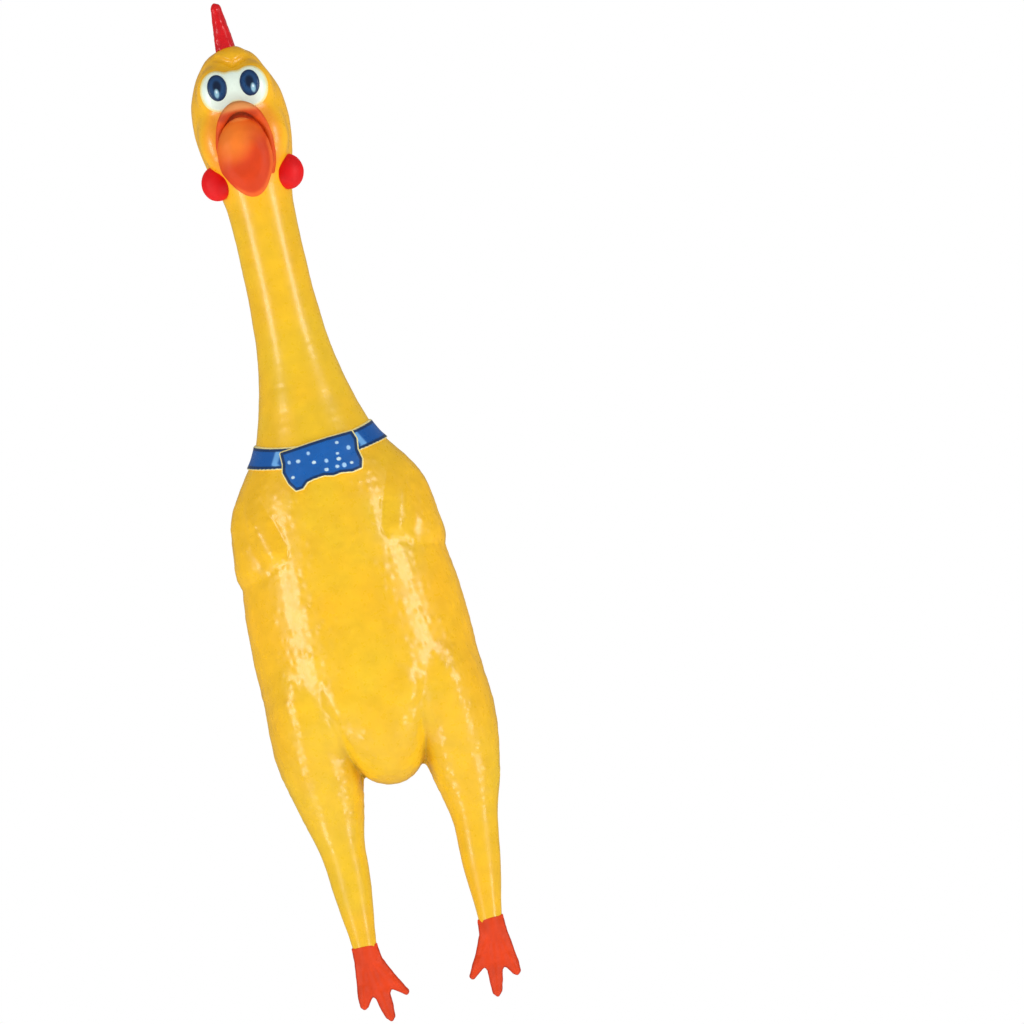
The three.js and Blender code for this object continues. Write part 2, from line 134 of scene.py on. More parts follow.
def ellipsoid(p, centre, radii, rotation=None):
    q = p - np.array(centre, float)
    if rotation is not None:
        q = q @ rotation
    r = np.array(radii, float)
    k0 = np.linalg.norm(q / r, axis=1)
    k1 = np.linalg.norm(q / (r * r), axis=1)
    return k0 * (k0 - 1) / np.maximum(k1, 1e-6)


def cone(p, a, b, ra, rb):
    """Round-ended cone from a to b."""
    a, b = np.array(a, float), np.array(b, float)
    d = b - a
    t = np.clip((p - a) @ d / (d @ d), 0, 1)
    return np.linalg.norm(p - a - t[:, None] * d, axis=1) - (ra + (rb - ra) * t)


class Loft:
    """Oval sections on a wandering axis: (height, half width, front, back, x, y), smooth between them."""

    def __init__(self, rows, blur=2.2):
        rows = sorted(tuple(r) + (0.0,) * (6 - len(r)) for r in rows)
        t = np.array(rows, float)
        self.z = np.arange(t[0, 0] - 12, t[-1, 0] + 12, 0.5)
        w2 = t[:, 1] ** 2
        low = (w2[1] - w2[0]) / (t[1, 0] - t[0, 0])
        high = (w2[-1] - w2[-2]) / (t[-1, 0] - t[-2, 0])
        fill = lambda v: np.interp(self.z, t[:, 0], v)
        area = fill(w2)
        area = np.where(self.z < t[0, 0], w2[0] + low * (self.z - t[0, 0]), area)
        area = np.where(self.z > t[-1, 0], w2[-1] + high * (self.z - t[-1, 0]), area)
        round_end = lambda v: np.where(t[:, 1] > 0, t[:, 1] / np.maximum(v, 1e-3), np.nan)
        ratios = []
        for column in (2, 3):
            k = round_end(t[:, column])
            good = ~np.isnan(k)
            ratios.append(np.interp(self.z, t[good, 0], k[good]))
        kernel = np.exp(-0.5 * (np.arange(-24, 25) * 0.5 / blur) ** 2)
        kernel /= kernel.sum()
        ease = lambda v: np.convolve(np.pad(v, 24, mode="reflect", reflect_type="odd"), kernel, "valid")
        self.area = ease(area)
        self.front, self.rear = ease(ratios[0]), ease(ratios[1])
        self.x, self.y = ease(fill(t[:, 4])), ease(fill(t[:, 5]))
        self.rise = np.gradient(self.area, self.z)

    def __call__(self, p):
        at = lambda v: np.interp(p[:, 2], self.z, v)
        x, y = p[:, 0] - at(self.x), p[:, 1] - at(self.y)
        k = np.where(y < 0, at(self.front), at(self.rear))
        area = at(self.area)
        f = x * x + (y * k) ** 2 - area
        g = np.sqrt((2 * x) ** 2 + (2 * k * k * y) ** 2 + at(self.rise) ** 2)
        return f / np.maximum(g, np.sqrt(np.abs(area)) + 1e-3)


def outline(p, points, blunt=0.0):
    """Distance to a polygon in x and z, seen from the front, with its corners rounded off."""
    q = p[:, [0, 2]]
    best = np.full(len(q), 1e9)
    inside = np.zeros(len(q), bool)
    for a, b in zip(points, points[1:] + points[:1]):
        a, b = np.array(a, float), np.array(b, float)
        e, w = b - a, q - a
        t = np.clip(w @ e / (e @ e), 0, 1)
        best = np.minimum(best, np.sum((w - t[:, None] * e) ** 2, 1))
        crosses = (a[1] <= q[:, 1]) != (b[1] <= q[:, 1])
        rise = e[1] if abs(e[1]) > 1e-9 else 1e-9
        inside ^= crosses & (q[:, 0] < a[0] + (q[:, 1] - a[1]) * e[0] / rise)
    return np.where(inside, -1, 1) * np.sqrt(best) - blunt


def oval(m, x, z, a, b):
    """Distance to an upright oval, seen from the front."""
    u, w = (m[:, 0] - x) / a, (m[:, 2] - z) / b
    k0 = np.hypot(u, w)
    return k0 * (k0 - 1) / np.maximum(np.hypot(u / a, w / b), 1e-6)


# ---- The bird's own measures, in millimetres ----
TRUNK = Loft([
    (129, 0, 1, 1), (127, 9.5, 9, 11), (121, 16.7, 16, 18.5), (113, 20.9, 21.5, 24), (105, 24, 25, 27),
    (97, 25, 26.5, 28), (89, 25.4, 27, 28), (79, 24.4, 26, 26.5), (68, 22.2, 23.5, 23.5),
    (58, 19.4, 20, 20.5), (48, 17.6, 17.7, 17.8), (38, 17.2, 17.2, 17.2), (23, 16.9, 17, 17),
    (0, 17.2, 17.2, 17.2), (-24, 18.6, 18.4, 18.4), (-38, 20.6, 20.2, 20.2), (-50, 23, 22.4, 22.4),
    (-64, 26.6, 24.6, 24), (-76, 30.6, 26.8, 25.6), (-83, 34, 28.6, 27), (-90, 39.4, 30.4, 28.4),
    (-96, 43.6, 32.2, 29.6), (-104, 47, 34.4, 31), (-116, 49.6, 37, 32.6), (-132, 52, 39.4, 34.2),
    (-148, 54.6, 41, 35.4), (-164, 56.8, 42.2, 36.4), (-186, 58, 43.4, 37), (-205, 57.6, 43.4, 36.6),
    (-220, 54.5, 42, 35.6), (-232, 46, 39, 33.6), (-243, 33, 33, 29), (-251, 20, 24, 22), (-256, 0, 1, 1),
])
LEG_Y = -2
LEG = Loft([
    (-180, 0, 1, 1, 37, LEG_Y), (-190, 12, 22, 18, 37, LEG_Y), (-201, 18, 30.5, 24, 37, LEG_Y),
    (-212, 21, 33.5, 27, 36.8, LEG_Y), (-224, 22.7, 32.5, 26.5, 36.4, LEG_Y),
    (-236, 22.9, 29.5, 25, 36.5, LEG_Y), (-248, 21.7, 25.5, 22.8, 36.6, LEG_Y),
    (-258, 19.9, 21.8, 20.6, 36.5, LEG_Y), (-268, 17.6, 18.4, 17.8, 36.5, LEG_Y),
    (-277, 15.4, 15.6, 15.4, 36.4, LEG_Y), (-285, 13.3, 13.4, 13.2, 36.2, LEG_Y),
    (-293, 11.7, 11.9, 11.7, 35.8, LEG_Y), (-303, 10.9, 11, 11, 35.1, LEG_Y),
    (-314, 10.2, 10.3, 10.3, 34.7, LEG_Y), (-325, 8.8, 9, 9, 34.4, LEG_Y),
    (-335, 7.3, 7.4, 7.4, 34.1, LEG_Y), (-343, 6.4, 6.4, 6.4, 33.8, LEG_Y), (-350, 5.6, 5, 5, 33.7, LEG_Y),
    (-353, 0, 1, 1, 33.7, LEG_Y),
], blur=1.6)
RUMP = ((0, -5, -226), (27, 35, 38.5))
FACE_ROLL = turn(y=3.0, z=1.2)  # the face is a little askew on the head
FACE_PIVOT = np.array([0.0, 0.0, 92.0])


def face(p):
    """A point in the face's own frame."""
    return (p - FACE_PIVOT) @ FACE_ROLL + FACE_PIVOT


def mirrored(p):
    """The same point on the right-hand side."""
    return np.stack([np.abs(p[:, 0]), p[:, 1], p[:, 2]], 1)


def groove(d, distance, depth, width):
    """A field with a soft groove pressed in along a line."""
    return d + depth * np.exp(-((distance / width) ** 2))


WING = [(54, -90), (45, -106), (36, -119), (30.5, -131), (32, -137.5), (41, -142), (55, -144.5), (69, -146.5),
        (82, -146.5), (94, -140), (99, -126), (95, -110), (84, -97), (68, -88)]


def wing_height(p):
    """How far the folded wing stands off the side: u runs round the trunk, z up it."""
    u = np.arctan2(np.abs(p[:, 0]), -p[:, 1]) * 47
    plan = np.stack([u, np.zeros(len(p)), p[:, 2]], 1)
    depth = np.maximum(-outline(plan, WING, 1.5), 0)
    ridge = lambda a, b, w: np.exp(-((cone(plan, (a[0], 0, a[1]), (b[0], 0, b[1]), 0, 0) / w) ** 2))
    high = 3.7 * (1 - np.exp(-((depth / (4.6 + 5.5 * step(64, 38, u))) ** 1.3)))
    high -= 0.6 * np.maximum(ridge((36, -119), (31, -134), 2.0), ridge((31, -134), (42, -142), 2.0))
    folds = 1.4 * ridge((50, -104), (37, -133), 5.0) - 1.0 * ridge((57, -108), (46, -137), 3.6)
    folds += 0.7 * ridge((66, -108), (57, -140), 5.0) - 0.8 * ridge((78, -112), (72, -142), 3.6)
    return (high + folds * step(0, 2.5, depth)) * step(-90, -117, p[:, 2])


LEAN_Z = [-344, -325, -300, -275, -240, -200, -150]
LEAN_X = [0.0, 0.9, 2.0, 2.6, 1.9, 1.1, 0.2]


def skin(p):
    """The whole soft moulding, without its painted relief."""
    p = p - np.stack([np.interp(p[:, 2], LEAN_Z, LEAN_X), np.zeros(len(p)), np.zeros(len(p))], 1)
    side = mirrored(p)
    d = TRUNK(p)
    low = p[:, 2] < -150
    if low.any():
        q = side[low]
        body = smin(d[low], ellipsoid(p[low], *RUMP), 5)
        body = smin(body, ellipsoid(q, (16.5, -36, -213), (8, 5.6, 11), turn(-8)), 4)
        plan = q * np.array([1, 0, 1])
        crease = cone(plan, (24.5, 0, -217), (16.6, 0, -262), 0, 0)
        body = smin(body, LEG(q), 3.6)
        d[low] = groove(body, crease, 1.5 * step(-212, -245, q[:, 2]) * (q[:, 1] < 0), 2.3)
    mid = (p[:, 2] < -84) & (p[:, 2] > -152) & (np.abs(d) < 9)
    if mid.any():
        d[mid] -= wing_height(p[mid])
    top = p[:, 2] > 40
    if top.any():
        q = face(p[top])
        m = mirrored(q)
        h = d[top]
        h = smin(h, ellipsoid(q, (0, -4, 121), (14, 15.5, 9.5)), 4)
        h = smin(h, ellipsoid(m, (9, -16, 108), (11, 11.5, 13.5)), 4)
        h = smin(h, ellipsoid(q, (0, -17.5, 107), (9.5, 9.8, 12)), 4)
        h = smin(h, ellipsoid(m, (12.5, -16, 82), (10.5, 10, 15)), 5)
        h = smin(h, ellipsoid(q, (0, -20, 90), (12.5, 8, 15)), 3)
        frown = (1.2, -20, 121)
        brow = np.minimum(cone(q, (-8, -15, 126.5), frown, 0, 0), cone(q, (9.5, -16, 124.5), frown, 0, 0))
        h = smin(h, ellipsoid(q, (0.4, -11, 125.5), (8.5, 8.5, 5.5), turn(25)), 1.6)
        h = groove(h, brow, 1.9, 1.4)
        d[top] = h
    return d


def bump(p):
    """Goose skin, soft lumps and fine rings of wrinkles, as a height over the smooth skin."""
    z = p[:, 2]
    trunk = step(-70, -100, z) * step(-300, -262, z)
    neck = step(52, 40, z) * step(-84, -70, z)
    head = step(46, 60, z)
    legs = step(-262, -280, z)
    pimples = np.exp(-((nearest(p, 5.2) / 1.9) ** 2))
    lumps = noise(p, 16, 5) * 0.35 + noise(p, 7, 6) * 0.16
    rings = noise(p * np.array([0.22, 0.22, 1.0]), 2.6, 8)
    height = pimples * (0.27 * trunk + 0.04 * neck + 0.05 * head + 0.07 * legs)
    height += lumps * (0.75 * trunk + 0.22 * neck + 0.14 * head + 0.25 * legs)
    height += rings * (0.06 * neck + 0.04 * trunk + 0.02 * legs)
    return height


# ---- Meshing ----
def net(field, low, high, cell):
    """Quads on the zero of a field, one corner to each cell that it crosses."""
    low = np.array(low, float)
    count = np.ceil((np.array(high, float) - low) / cell).astype(int) + 1
    axes = [low[i] + cell * np.arange(count[i]) for i in range(3)]
    values = np.empty(count, np.float32)
    xy = np.stack(np.meshgrid(axes[0], axes[1], indexing="ij"), -1).reshape(-1, 2)
    chunk = max(1, 400000 // len(xy))
    for k in range(0, count[2], chunk):
        zs = axes[2][k:k + chunk]
        p = np.concatenate([np.repeat(xy, len(zs), 0), np.tile(zs, len(xy))[:, None]], 1)
        values[:, :, k:k + chunk] = field(p).reshape(count[0], count[1], len(zs))
    cells = count - 1
    total = int(np.prod(cells))
    sums, hits = np.zeros((total, 3)), np.zeros(total)
    quads = []
    for axis in range(3):
        first = [slice(None)] * 3
        second = [slice(None)] * 3
        first[axis], second[axis] = slice(None, -1), slice(1, None)
        a, b = values[tuple(first)], values[tuple(second)]
        ids = np.argwhere((a < 0) != (b < 0))
        va, vb = a[tuple(ids.T)].astype(float), b[tuple(ids.T)].astype(float)
        at = ids.astype(float)
        at[:, axis] += va / (va - vb)
        u, v = (axis + 1) % 3, (axis + 2) % 3
        corners = []
        whole = np.ones(len(ids), bool)
        for du, dv in ((0, 0), (-1, 0), (-1, -1), (0, -1)):
            c = ids.copy()
            c[:, u] += du
            c[:, v] += dv
            good = ((c >= 0) & (c < cells)).all(1)
            whole &= good
            flat = (c[:, 0] * cells[1] + c[:, 1]) * cells[2] + c[:, 2]
            hits += np.bincount(flat[good], minlength=total)
            for i in range(3):
                sums[:, i] += np.bincount(flat[good], weights=at[good, i], minlength=total)
            corners.append(flat)
        q = np.stack(corners, 1)[whole]
        outward = (va < 0)[whole]
        quads.append(np.where(outward[:, None], q, q[:, ::-1]))
    used = np.flatnonzero(hits)
    number = np.full(total, -1)
    number[used] = np.arange(len(used))
    return low + cell * sums[used] / hits[used, None], number[np.concatenate(quads)]


def gradient(field, p, h=0.12):
    """Slope of a field along each axis."""
    g = np.empty_like(p)
    for i in range(3):
        o = np.zeros(3)
        o[i] = h
        g[:, i] = (field(p + o) - field(p - o)) / (2 * h)
    return g


def surface(field, low, high, cell, detail=None):
    """(corners, quads, normals) of a field's surface, with a height laid over it."""
    v, q = net(field, low, high, cell)
    for _ in range(2):
        g = gradient(field, v)
        v = v - np.clip(field(v), -cell, cell)[:, None] * g / np.maximum(np.sum(g * g, 1), 0.05)[:, None]
    g = gradient(field, v)
    n = g / np.maximum(np.linalg.norm(g, axis=1), 1e-6)[:, None]
    if detail is None:
        return v, q, n
    v = v + n * detail(v)[:, None]
    g = gradient(lambda p: field(p) - detail(p), v, 0.25)
    return v, q, g / np.maximum(np.linalg.norm(g, axis=1), 1e-6)[:, None]


def make(name, v, q, n, paint, material):
    """A mesh object from millimetres, with its paint and its place at rest kept on each corner."""
    used, index = np.unique(q, return_inverse=True)
    v, n, q = v[used], n[used], index.reshape(q.shape)
    mesh = bpy.data.meshes.new(name)
    mesh.vertices.add(len(v))
    mesh.vertices.foreach_set("co", (v * MM).astype(np.float32).ravel())
    mesh.loops.add(q.size)
    mesh.loops.foreach_set("vertex_index", q.astype(np.int32).ravel())
    mesh.polygons.add(len(q))
    mesh.polygons.foreach_set("loop_start", np.arange(0, q.size, q.shape[1], dtype=np.int32))
    mesh.polygons.foreach_set("use_smooth", np.ones(len(q), bool))
    mesh.update()
    mesh.validate()
    rest = mesh.attributes.new("rest", "FLOAT_VECTOR", "POINT")
    rest.data.foreach_set("vector", v.astype(np.float32).ravel())
    colour = mesh.color_attributes.new("paint", "FLOAT_COLOR", "POINT")
    rgba = np.ones((len(v), 4), np.float32)
    rgba[:, :3] = paint(v)
    colour.data.foreach_set("color", rgba.ravel())
    mesh.normals_split_custom_set_from_vertices(n.astype(np.float32).tolist())
    obj = bpy.data.objects.new(name, mesh)
    bpy.context.scene.collection.objects.link(obj)
    mesh.materials.append(material)
    return obj


# ---- Paint ----
def srgb(r, g, b):
    """A screen colour, 0 to 255, as linear light."""
    c = np.array([r, g, b]) / 255
    return np.where(c <= 0.04045, c / 12.92, ((c + 0.055) / 1.055) ** 2.4)


YELLOW = srgb(236, 190, 34)
WARM = srgb(245, 180, 20)
CHEEK = srgb(250, 150, 36)
RED = srgb(228, 12, 18)
DARK_RED = srgb(200, 14, 28)
BEAK = srgb(228, 94, 18)
BEAK_DEEP = srgb(212, 60, 8)
# Painted shade colour for the mouth recess under the upper beak.
MOUTH_SHADE = srgb(186, 60, 22)
FOOT = srgb(216, 60, 8)
WHITE = srgb(232, 246, 232)
CREAM = srgb(250, 236, 160)
NAVY = srgb(18, 52, 96)
BLUE = srgb(16, 88, 166)
BOW = srgb(22, 94, 172)
PALE = srgb(120, 186, 246)


def mix(a, b, t):
    """From one colour to the other as t goes from 0 to 1."""
    return a + (b - a) * np.clip(t, 0, 1)[:, None]


def flat(colour, size=9, amount=0.05, seed=21):
    """One paint, a little uneven."""
    return lambda p: np.clip(colour * (1 + amount * noise(p, size, seed))[:, None], 0, 1)


def skin_paint(p):
    c = np.tile(YELLOW, (len(p), 1))
    side = mirrored(p)
    c = mix(c, WARM, 0.25 + 0.35 * noise(p, 34, 31) + 0.2 * noise(p, 11, 32))
    c = mix(c, WARM, 0.8 * step(40, 70, p[:, 2]))
    spray = ellipsoid(face(p), (0, -24, 80), (17, 14, 22))
    c = mix(c, CHEEK, 0.75 * step(7, 0, spray))
    c = mix(c, WARM, 0.45 * step(30, 54, side[:, 0]) * step(-262, -235, p[:, 2]))
    # Painted light and shade: the head is painted 7% lighter, and the lower trunk and legs 5% darker, to stand
    # in for how the light falls on them.
    level = 1 + 0.07 * step(46, 66, p[:, 2]) - 0.05 * step(-200, -240, p[:, 2])
    return np.clip(c * level[:, None], 0, 1)


# ---- Materials ----
CLOUD_SCALE, STAIN_SCALE, GRAIN_SCALE, PORE_SCALE = 0.11, 0.35, 1.1, 0.8  # features per millimetre
GRAIN_DEPTH, PORE_DEPTH = 0.00012, 0.00015
COAT_ROUGHNESS, VINYL_IOR = 0.12, 1.5


def vinyl(name, rough, grain, pores, coat, specular=0.5):
    """Soft vinyl: its colour is the paint kept on the mesh, its grain and pores lie in the rest frame."""
    m = bpy.data.materials.new(name)
    m.use_nodes = True
    nodes, links = m.node_tree.nodes, m.node_tree.links
    b = nodes["Principled BSDF"]
    paint = nodes.new("ShaderNodeAttribute")
    paint.attribute_name = "paint"
    rest = nodes.new("ShaderNodeAttribute")
    rest.attribute_name = "rest"

    def texture(kind, scale, detail=2.0):
        t = nodes.new(kind)
        t.inputs["Scale"].default_value = scale
        if "Detail" in t.inputs:
            t.inputs["Detail"].default_value = detail
        links.new(rest.outputs["Vector"], t.inputs["Vector"])
        return t

    def ranged(source, low, high, out_low, out_high):
        r = nodes.new("ShaderNodeMapRange")
        for key, value in (("From Min", low), ("From Max", high), ("To Min", out_low), ("To Max", out_high)):
            r.inputs[key].default_value = value
        links.new(source, r.inputs["Value"])
        return r.outputs["Result"]

    cloud = texture("ShaderNodeTexNoise", CLOUD_SCALE, 3.0)
    tint = nodes.new("ShaderNodeHueSaturation")
    links.new(paint.outputs["Color"], tint.inputs["Color"])
    links.new(ranged(cloud.outputs["Fac"], 0.3, 0.7, 0.94, 1.05), tint.inputs["Value"])
    links.new(tint.outputs["Color"], b.inputs["Base Color"])
    stain = texture("ShaderNodeTexNoise", STAIN_SCALE, 3.0)
    links.new(ranged(stain.outputs["Fac"], 0.3, 0.7, rough - 0.05, rough + 0.07), b.inputs["Roughness"])
    fine = texture("ShaderNodeTexNoise", GRAIN_SCALE, 4.0)
    pits = texture("ShaderNodeTexVoronoi", PORE_SCALE)
    first = nodes.new("ShaderNodeBump")
    first.inputs["Strength"].default_value = grain
    first.inputs["Distance"].default_value = GRAIN_DEPTH
    links.new(fine.outputs["Fac"], first.inputs["Height"])
    second = nodes.new("ShaderNodeBump")
    second.inputs["Strength"].default_value = pores
    second.inputs["Distance"].default_value = PORE_DEPTH
    links.new(ranged(pits.outputs["Distance"], 0.0, 0.45, 0.0, 1.0), second.inputs["Height"])
    links.new(first.outputs["Normal"], second.inputs["Normal"])
    links.new(second.outputs["Normal"], b.inputs["Normal"])
    b.inputs["Coat Weight"].default_value = coat
    b.inputs["Coat Roughness"].default_value = COAT_ROUGHNESS
    b.inputs["Specular IOR Level"].default_value = specular
    b.inputs["IOR"].default_value = VINYL_IOR
    return m


def plastic(name, colour, rough):
    """Moulded plastic with a slight cloudiness."""
    m = bpy.data.materials.new(name)
    m.use_nodes = True
    nodes, links = m.node_tree.nodes, m.node_tree.links
    b = nodes["Principled BSDF"]
    where = nodes.new("ShaderNodeTexCoord")
    cloud = nodes.new("ShaderNodeTexNoise")
    cloud.inputs["Scale"].default_value = 400
    links.new(where.outputs["Object"], cloud.inputs["Vector"])
    ramp = nodes.new("ShaderNodeValToRGB")
    ramp.color_ramp.elements[0].color = (*(colour * 0.85), 1)
    ramp.color_ramp.elements[1].color = (*colour, 1)
    links.new(cloud.outputs["Fac"], ramp.inputs["Fac"])
    links.new(ramp.outputs["Color"], b.inputs["Base Color"])
    b.inputs["Roughness"].default_value = rough
    return m


SKIN = vinyl("skin", rough=0.3, grain=0.24, pores=0.1, coat=0.25)
PAINTED = vinyl("painted", rough=0.3, grain=0.35, pores=0.15, coat=0.2)
RUBBER = vinyl("matt_paint", rough=0.54, grain=0.3, pores=0.12, coat=0.0, specular=0.28)

# ---- The soft skin, cut into pieces ----
BODY_CELL, HEAD_CELL = 0.95, 0.62
body = surface(skin, (-63, -48, -356), (63, 42, 40), BODY_CELL * COARSE, bump)
head = surface(skin, (-30, -36, 33), (30, 32, 136), HEAD_CELL * COARSE, bump)


def share(mesh, test):
    """The faces whose middle passes a test."""
    v, q, n = mesh
    return v, q[test(v[q].mean(1))], n


def skin_piece(name, mesh, test, start, end, nodes):
    """A part of the skin: the faces that pass a test, with the CAD pieces it stands for hidden."""
    obj = make(name, *share(mesh, test), skin_paint, SKIN)
    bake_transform(obj)
    if nodes:
        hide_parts(*nodes)
    return obj


NECK_CUT, GRIP_CUT, CHEST_CUT, HIP_CUT, KNEE_CUT, ANKLE_CUT = 34.5, -0.5, -37, -265, -300.5, -337
HEAD_LAP = 0.7  # the head's finer mesh runs a little over the neck's
HEAD_BEND, NECK_BEND, GRIP_BEND, CHEST_BEND = (35.5, 56), (11, 34), (-11, -36.5), (-38, -62)
HIP_BEND, KNEE_BEND, ANKLE_BEND = (-266, -298), (-302, -330), (-338.5, -352)
BELLY_Y, BELLY_TOP = -36.4, -108
belly = lambda c: (c[:, 1] < BELLY_Y) & (c[:, 2] < BELLY_TOP)
upright = lambda z: (0, 0, z * MM)
skin_piece("head_skin_soft", head, lambda c: c[:, 2] > NECK_CUT - HEAD_LAP,
           upright(HEAD_BEND[0]), upright(HEAD_BEND[1]), ["head_skin"])
skin_piece("neck_upper_soft", body, lambda c: (c[:, 2] < NECK_CUT) & (c[:, 2] > GRIP_CUT),
           upright(NECK_BEND[0]), upright(NECK_BEND[1]), ["neck_upper"])
skin_piece("neck_grip_soft", body, lambda c: (c[:, 2] < GRIP_CUT) & (c[:, 2] > CHEST_CUT),
           upright(GRIP_BEND[0]), upright(GRIP_BEND[1]), ["neck_grip", "neck_lower"])
skin_piece("torso_soft", body, lambda c: (c[:, 2] < CHEST_CUT) & (c[:, 2] > HIP_CUT) & ~belly(c),
           upright(CHEST_BEND[0]), upright(CHEST_BEND[1]),
           ["torso_skin", "left_wing", "right_wing"])
skin_piece("belly_soft", body, belly, (0, (BELLY_Y - 0.6) * MM, -0.18), (0, -0.0437, -0.18),
           ["belly_panel"])
for side, sign in (("left", 1), ("right", -1)):
    own = lambda c: c[:, 0] * sign > 0
    skin_piece(f"{side}_drumstick_soft", body, lambda c: own(c) & (c[:, 2] < HIP_CUT) & (c[:, 2] > KNEE_CUT),
               upright(HIP_BEND[0]), upright(HIP_BEND[1]), [f"{side}_drumstick"])
    skin_piece(f"{side}_shank_soft", body, lambda c: own(c) & (c[:, 2] < KNEE_CUT) & (c[:, 2] > ANKLE_CUT),
               upright(KNEE_BEND[0]), upright(KNEE_BEND[1]), [f"{side}_shank"])
    skin_piece(f"{side}_ankle_soft", body, lambda c: own(c) & (c[:, 2] < ANKLE_CUT),
               upright(ANKLE_BEND[0]), upright(ANKLE_BEND[1]), [])


# ---- Painted relief ----
def relief(region, height, sink=1.2, soft=0.9, base=skin):
    """A raised patch that follows the skin inside an outline."""
    def field(p):
        d = base(p) - np.maximum(bump(p) * 0.6, -0.2)
        return smax(smax(d - height, region(p), soft), -d - sink, 0.3)
    return field


def riding(name, field, low, high, cell, paint, body_name, nodes, material=PAINTED, detail=None):
    """A piece made from a field, which rides on one body."""
    obj = make(name, *surface(field, low, high, cell * COARSE, detail), paint, material)
    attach(obj, body_name)
    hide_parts(*nodes)
    return obj


RIM = 0.8  # the moulded rim round the neckband and the bow
BAND_HALF = 4.9


def front_cos(p):
    """1 straight ahead of the bird's axis, -1 behind it."""
    return -p[:, 1] / np.maximum(np.hypot(p[:, 0], p[:, 1]), 1e-3)


def band_region(p, grow=0.0):
    c = front_cos(p)
    middle = -80.8 - 6.2 * np.maximum(c, 0) ** 1.5 + 1.5 * np.maximum(-c, 0)
    return np.abs(p[:, 2] - middle) - BAND_HALF - grow


BOW_POINTS = [(-17.2, -83.2), (-8, -82.4), (0, -81.6), (8, -80.9), (14, -80.6), (20.4, -80.2), (21.8, -84),
              (21.2, -89.5), (22.4, -95), (21.4, -98.8), (17, -99.6), (11, -98.8), (7, -99.4), (2, -98.3),
              (-4, -99), (-7.4, -99.8), (-10.4, -102.6), (-13.6, -102.8), (-16.2, -99), (-18, -93),
              (-17, -88.6)]
DOTS = [(-14.3, -88.4), (-9.5, -88.9), (-1.6, -91.3), (4.9, -91.9), (11.3, -89.4), (11.4, -92.3), (17.5, -87.7),
        (12.2, -83.8), (17.5, -95.7), (13.5, -96.1), (9.8, -96), (-14, -96.5), (-3.5, -86), (4, -96.4)]


def bow_region(p, grow=0.0):
    return outline(p, BOW_POINTS, 0.6 + grow) + 40 * (p[:, 1] > 0)


def edged(c, depth, rim=0.6, line=1.5):
    """A pale rim and a dark drawn line inside an outline; depth is how far inside a point is. The pale rim is
    partly the unpainted moulded edge and partly a painted highlight where the relief's edge catches the light.
    """
    c = mix(c, NAVY, step(rim + line + 0.2, rim + line - 0.2, depth))
    # Cream rim: partly the unpainted moulding, partly a painted highlight along the relief's edge.
    return mix(c, CREAM, step(rim + 0.15, rim - 0.15, depth))


def band_paint(p):
    c = np.tile(BLUE, (len(p), 1)) * (1 + 0.08 * noise(p, 6, 41))[:, None]
    x = np.abs(p[:, 0] - 1.8)
    # Painted highlight: paler blue patches beside the bow, where the ribbon's folds catch the light.
    fold_highlight = (x - 19) * 0.9 + np.abs(p[:, 2] + 87.5) * 0.5
    c = mix(c, PALE, 0.8 * step(6.4, 5.2, fold_highlight) * step(2.2, 3.6, fold_highlight) * (p[:, 1] < 0) * (x > 15))
    return edged(c, -band_region(p, RIM))


def bow_paint(p):
    c = np.tile(BOW, (len(p), 1)) * (1 + 0.08 * noise(p, 5, 42))[:, None]
    for i, (x, z) in enumerate(DOTS):
        r = 0.75 + 0.25 * ((i * 7) % 4) / 3
        d = np.hypot(p[:, 0] - x, (p[:, 2] - z) * (1.25 if i % 3 else 0.9))
        c = mix(c, mix(PALE[None], WHITE, np.array([0.3 + 0.2 * (i % 3)])), step(r + 0.3, r - 0.1, d))
    return edged(c, -bow_region(p, RIM))


riding("collar_band_relief", relief(lambda p: band_region(p, RIM), 1.1), (-40, -36, -100), (40, 34, -68),
       0.45, band_paint, "torso", ["collar_band"])
riding("bow_tie_relief", relief(lambda p: bow_region(p, RIM), 2.1, soft=1.3), (-21, -42, -106),
       (26, -20, -77), 0.4, bow_paint, "torso", ["bow_tie"])

# Eyes
EYE_X, EYE_Z = 8.75, 107.8
IRIS = (8.6, 109.4, 5.25, 7.1)


def eye_region(p):
    m = mirrored(face(p))
    middle = oval(m, 0, EYE_Z + 1.2, 7, 8.6)
    return smin(oval(m, EYE_X, EYE_Z, 9.1, 10.9), middle, 2.5) + 40 * (p[:, 1] > 0)


def iris_region(p):
    m = mirrored(face(p))
    return oval(m, *IRIS) + 40 * (p[:, 1] > 0)


def eye_paint(p):
    c = np.tile(WHITE, (len(p), 1)) * (1 + 0.03 * noise(p, 4, 44))[:, None]
    return mix(c, CREAM, 0.9 * step(1.7, 0.4, -eye_region(p)))


def iris_paint(p):
    q = face(p)
    side = np.sign(q[:, 0])
    u, w = (np.abs(q[:, 0]) - IRIS[0]) / IRIS[2], (q[:, 2] - IRIS[1]) / IRIS[3]
    r = np.hypot(u, w)
    c = mix(np.tile(srgb(30, 70, 116), (len(p), 1)), srgb(16, 44, 84), step(0.55, 1.0, r))
    c = mix(c, srgb(10, 24, 48), 0.9 * step(0.62, 0.3, np.hypot(u * 1.1, w - 0.08)))
    lean = u * side - np.where(side > 0, 0.28, -0.12)
    shine = np.hypot(lean / 0.26, (w + 0.42) / 0.38)
    c = mix(c, srgb(150, 196, 216), 0.95 * step(1.1, 0.6, shine))
    return mix(c, srgb(226, 242, 248), step(0.55, 0.3, np.hypot(lean / 0.2, (w + 0.3) / 0.26)))


